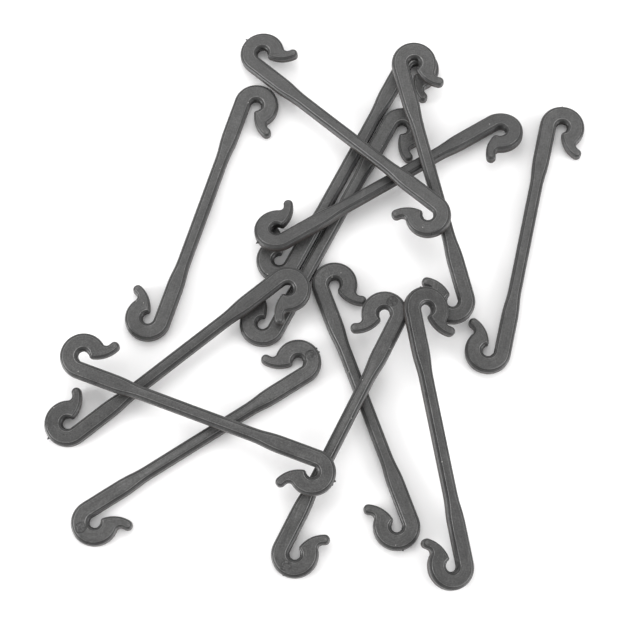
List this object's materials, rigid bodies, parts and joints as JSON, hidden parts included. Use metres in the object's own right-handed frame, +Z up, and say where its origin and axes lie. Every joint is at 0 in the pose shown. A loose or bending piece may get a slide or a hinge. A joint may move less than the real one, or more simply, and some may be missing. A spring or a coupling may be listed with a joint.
{
  "type": "orchid clip set",
  "caption": "Heap of identical moulded plant clips, each a slim flat shank with a curled press-on hook at both ends.",
  "frame": {"origin": "middle of the heap's box, on the table", "axes": "+Z up from the table, +Y away from the viewer of the picture, +X to its right"},
  "size_m": [0.171, 0.1842, 0.0129],
  "materials": {
    "clip_plastic": "matte moulded plastic, dark grey"
  },
  "bodies": {
    "base_clip": {"base_clip": "clip_plastic"},
    "flipped_low_clip": {"flipped_low_clip": "clip_plastic"},
    "bridge_clip": {"bridge_clip": "clip_plastic"},
    "flipped_steep_clip": {"flipped_steep_clip": "clip_plastic"},
    "ramp_clip": {"ramp_clip": "clip_plastic"},
    "cross_clip": {"cross_clip": "clip_plastic"},
    "leaning_clip": {"leaning_clip": "clip_plastic"},
    "right_lean_clip": {"right_lean_clip": "clip_plastic"},
    "top_clip": {"top_clip": "clip_plastic"},
    "base_twin_clip": {"base_twin_clip": "clip_plastic"},
    "middle_clip": {"middle_clip": "clip_plastic"},
    "left_clip": {"left_clip": "clip_plastic"},
    "right_clip": {"right_clip": "clip_plastic"}
  },
  "joints": [
    {"name": "lift_left_clip", "type": "slide", "parent": "base_clip", "child": "left_clip", "axis": [0, 0, 1], "range_m": [0, 0.03]},
    {"name": "lift_right_clip", "type": "slide", "parent": "base_clip", "child": "right_clip", "axis": [0, 0, 1], "range_m": [0, 0.03]},
    {"name": "lift_base_twin_clip", "type": "slide", "parent": "base_clip", "child": "base_twin_clip", "axis": [0, 0, 1], "range_m": [0, 0.03]},
    {"name": "lift_middle_clip", "type": "slide", "parent": "base_twin_clip", "child": "middle_clip", "axis": [0, 0, 1], "range_m": [0, 0.03]},
    {"name": "lift_flipped_steep_clip", "type": "slide", "parent": "middle_clip", "child": "flipped_steep_clip", "axis": [0, 0, 1], "range_m": [0, 0.03]},
    {"name": "lift_bridge_clip", "type": "slide", "parent": "flipped_steep_clip", "child": "bridge_clip", "axis": [0, 0, 1], "range_m": [0, 0.03]},
    {"name": "lift_leaning_clip", "type": "slide", "parent": "bridge_clip", "child": "leaning_clip", "axis": [0, 0, 1], "range_m": [0, 0.03]},
    {"name": "lift_top_clip", "type": "slide", "parent": "leaning_clip", "child": "top_clip", "axis": [0, 0, 1], "range_m": [0, 0.03]},
    {"name": "lift_right_lean_clip", "type": "slide", "parent": "leaning_clip", "child": "right_lean_clip", "axis": [0, 0, 1], "range_m": [0, 0.03]},
    {"name": "lift_flipped_low_clip", "type": "slide", "parent": "flipped_steep_clip", "child": "flipped_low_clip", "axis": [0, 0, 1], "range_m": [0, 0.03]},
    {"name": "lift_ramp_clip", "type": "slide", "parent": "flipped_low_clip", "child": "ramp_clip", "axis": [0, 0, 1], "range_m": [0, 0.03]},
    {"name": "lift_cross_clip", "type": "slide", "parent": "ramp_clip", "child": "cross_clip", "axis": [0, 0, 1], "range_m": [0, 0.03]}
  ]
}
